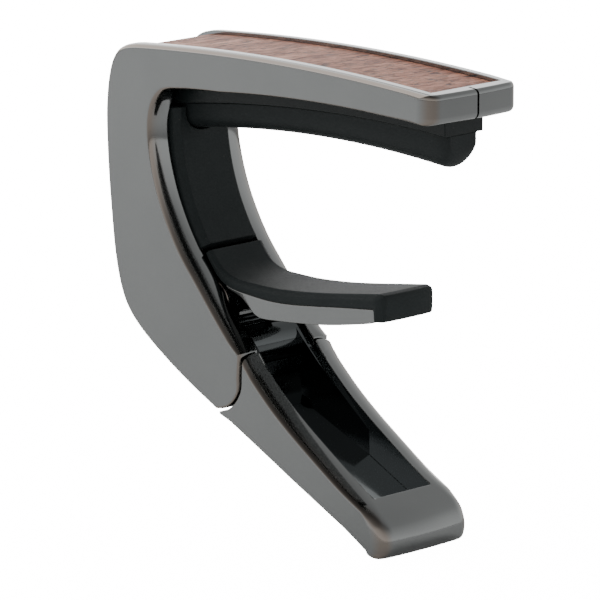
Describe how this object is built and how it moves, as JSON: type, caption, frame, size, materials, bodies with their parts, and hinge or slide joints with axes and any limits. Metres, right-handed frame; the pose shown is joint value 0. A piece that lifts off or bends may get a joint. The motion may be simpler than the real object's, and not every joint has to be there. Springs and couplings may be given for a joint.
{
  "type": "guitar capo",
  "caption": "Clip-on guitar capo: a C-shaped black chrome frame with a wood inlay, a rubber fret pad, a hinged padded jaw behind the neck and a release lever",
  "frame": {"origin": "the middle of the fret pad's working face, where it meets the strings over the fretboard", "axes": "+X runs across the neck towards the arm's open tip, +Y along the strings, +Z away from the fretboard, so the arm is above and the jaw and lever below"},
  "size_m": [0.072, 0.021, 0.0774],
  "materials": {
    "black_chrome": "polished black chrome over a die casting",
    "walnut": "open-pored wood, satin oil",
    "carrier_plastic": "fine matt black moulding",
    "fret_rubber": "matt black silicone",
    "pad_rubber": "satin black rubber",
    "steel": "ground steel",
    "spring_steel": "drawn spring wire",
    "bush_plastic": "plain acetal"
  },
  "bodies": {
    "frame_body": {"frame": "black_chrome", "arm_inlay": "walnut", "pad_carrier": "carrier_plastic", "carrier_screw_rear": "steel", "carrier_screw_front": "steel", "fret_pad": "fret_rubber", "spine_pad": "pad_rubber", "spine_pad_plate": "carrier_plastic", "spine_plate_screw_upper": "steel", "spine_plate_screw_lower": "steel", "jaw_shaft": "steel", "jaw_shaft_plug": "black_chrome", "lever_shaft": "steel", "lever_shaft_plug": "black_chrome", "jaw_spring_near": "spring_steel", "jaw_spring_far": "spring_steel"},
    "jaw_body": {"jaw": "black_chrome", "jaw_pad": "pad_rubber", "jaw_bush_near": "bush_plastic", "jaw_bush_far": "bush_plastic"},
    "lever_body": {"lever": "black_chrome", "lever_bush_near": "bush_plastic", "lever_bush_far": "bush_plastic"}
  },
  "joints": [
    {"name": "lever_hinge", "type": "hinge", "parent": "frame_body", "child": "lever_body", "pos_m": [-0.0149, 0, -0.0357], "axis": [0, -1, 0], "range_deg": [0, 22], "stiffness_Nm_per_rad": 0.25, "springref_deg": -17.19},
    {"name": "jaw_hinge", "type": "hinge", "parent": "frame_body", "child": "jaw_body", "pos_m": [-0.022, 0, -0.0295], "axis": [0, 1, 0], "range_deg": [0, 16]}
  ],
  "couplings": [
    {"joint": "jaw_hinge", "follows": "lever_hinge", "ratio": 0.72}
  ]
}
